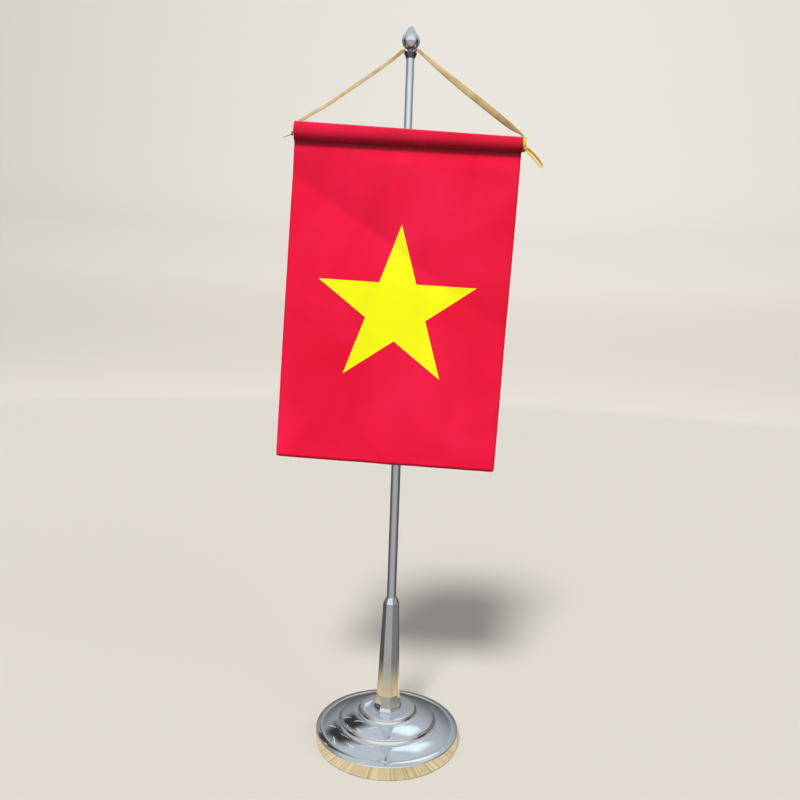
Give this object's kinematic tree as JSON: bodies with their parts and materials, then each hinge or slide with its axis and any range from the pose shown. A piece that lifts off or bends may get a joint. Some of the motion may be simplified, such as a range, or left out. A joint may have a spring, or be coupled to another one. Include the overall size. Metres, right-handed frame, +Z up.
{
  "type": "desk flag stand",
  "caption": "Weighted round desk stand with a telescopic pole, a drop-shaped finial and a small banner that hangs from the neck under the finial by a flat ribbon.",
  "frame": {"origin": "centre of the face that rests on the desk, on the pole's axis", "axes": "+Z up along the pole, +X to the right and -Y towards the viewer, on the side where the banner hangs"},
  "size_m": [0.1607, 0.096, 0.4634],
  "materials": {
    "chrome": "polished",
    "pole_metal": "bright drawn tube",
    "ballast_iron": "rough casting",
    "pad_felt": "felt",
    "hardware": "zinc plated",
    "clip_brass": "spring brass",
    "rod_plastic": "extruded",
    "cloth": "satin",
    "thread": "sewing thread",
    "ribbon": "satin"
  },
  "bodies": {
    "stand": {"base_shell": "chrome", "ballast": "ballast_iron", "base_pad": "pad_felt", "fixing_screw": "hardware", "flat_washer": "hardware", "spring_washer": "hardware", "column": "chrome", "lower_tube": "pole_metal"},
    "slider": {"friction_clip": "clip_brass"},
    "upper_pole": {"upper_tube": "pole_metal", "foot_plug": "clip_brass", "neck_collar": "chrome", "finial_stud": "hardware", "finial": "chrome"},
    "ribbon_loop": {"ribbon_bight": "ribbon"},
    "hanger": {"ribbon_left_leg": "ribbon", "ribbon_right_leg": "ribbon", "ribbon_left_knot": "ribbon", "ribbon_left_tail": "ribbon", "ribbon_right_knot": "ribbon", "ribbon_right_tail": "ribbon", "rod": "rod_plastic"},
    "flag": {"flag_sheet": "cloth", "rod_sleeve": "cloth", "sleeve_stitches": "thread"}
  },
  "joints": [
    {"name": "pole_extend", "type": "slide", "parent": "stand", "child": "slider", "axis": [0, 0, 1], "range_m": [-0.14, 0.012]},
    {"name": "pole_turn", "type": "hinge", "parent": "slider", "child": "upper_pole", "pos_m": [0, 0, 0.245], "axis": [0, 0, 1], "continuous": true},
    {"name": "banner_sway", "type": "hinge", "parent": "upper_pole", "child": "ribbon_loop", "pos_m": [0, 0, 0.4491], "axis": [0, 1, 0], "range_deg": [-8, 8]},
    {"name": "banner_swing", "type": "hinge", "parent": "ribbon_loop", "child": "hanger", "pos_m": [0, 0, 0.4491], "axis": [-1, 0, 0], "range_deg": [0, 60]},
    {"name": "flag_lift", "type": "hinge", "parent": "hanger", "child": "flag", "pos_m": [0.0006, -0.0084, 0.3954], "axis": [-0.9993, 0, 0.0384], "range_deg": [0, 80]}
  ]
}
